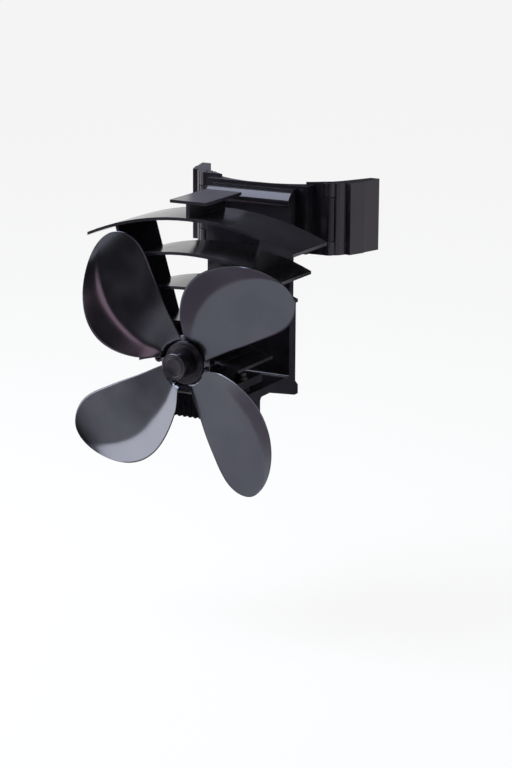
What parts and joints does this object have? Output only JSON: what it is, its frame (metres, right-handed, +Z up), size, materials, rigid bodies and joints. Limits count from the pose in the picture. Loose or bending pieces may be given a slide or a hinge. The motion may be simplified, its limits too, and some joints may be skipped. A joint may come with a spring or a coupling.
{
  "type": "stove pipe fan",
  "caption": "Heat-powered fan that clips round a stove's flue pipe with hinged magnetic wings; a module between hot plate and finned sink drives the motor and blades.",
  "frame": {"origin": "middle of the bracket saddle's flat back land, at the front line of the flue pipe", "axes": "+Z up along the pipe, +Y back into the pipe, -Y out to the room, +X to the right as seen from the front"},
  "size_m": [0.1624, 0.1571, 0.1852],
  "materials": {
    "black_metal": "gloss black anodised",
    "blade_metal": "satin gunmetal",
    "cap_metal": "satin black anodised",
    "steel": "plain",
    "brass": "plain",
    "magnet": "plated",
    "ceramic": "matt white ceramic",
    "seal": "matt",
    "heat_plastic": "matt",
    "red_cover": "satin",
    "black_cover": "satin"
  },
  "bodies": {
    "base": {"bracket_saddle": "black_metal", "bracket_screw_1": "steel", "bracket_screw_2": "steel", "bracket_screw_3": "steel", "bracket_screw_4": "steel", "bracket_spacer": "black_metal", "clamp_bush_left": "heat_plastic", "clamp_bush_right": "heat_plastic", "clamp_screw_left": "steel", "clamp_screw_right": "steel", "clamp_washer_left": "steel", "clamp_washer_right": "steel", "cold_sink": "black_metal", "hinge_pin_left": "steel", "hinge_pin_right": "steel", "hot_plate": "black_metal", "lead_black": "black_cover", "lead_red": "red_cover", "module_cold_ceramic": "ceramic", "module_hot_ceramic": "ceramic", "module_pellets": "steel", "module_seal": "seal", "motor_bearing_back": "brass", "motor_bearing_front": "brass", "motor_brush_left": "heat_plastic", "motor_brush_right": "heat_plastic", "motor_can": "steel", "motor_end_cap": "heat_plastic", "motor_grub_screw": "steel", "motor_magnet_left": "magnet", "motor_magnet_right": "magnet", "motor_terminal_left": "brass", "motor_terminal_right": "brass"},
    "rotor": {"motor_armature": "steel", "motor_commutator": "brass", "motor_shaft": "steel", "hub_boss": "brass", "hub_grub_screw": "steel", "hub_cap": "cap_metal", "fan_blades": "blade_metal"},
    "wing_left": {"wing_left": "black_metal", "wing_magnet_left_upper": "magnet", "wing_magnet_left_lower": "magnet", "wing_keeper_left": "steel"},
    "wing_right": {"wing_right": "black_metal", "wing_magnet_right_upper": "magnet", "wing_magnet_right_lower": "magnet", "wing_keeper_right": "steel"}
  },
  "joints": [
    {"name": "rotor_spin", "type": "hinge", "parent": "base", "child": "rotor", "pos_m": [0, -0.0937, -0.08], "axis": [0, 1, 0], "continuous": true},
    {"name": "wing_left_hinge", "type": "hinge", "parent": "base", "child": "wing_left", "pos_m": [-0.04648, 0.013, 0], "axis": [0, 0, 1], "range_deg": [-12, 50]},
    {"name": "wing_right_hinge", "type": "hinge", "parent": "base", "child": "wing_right", "pos_m": [0.04648, 0.013, 0], "axis": [0, 0, -1], "range_deg": [-12, 50]}
  ]
}
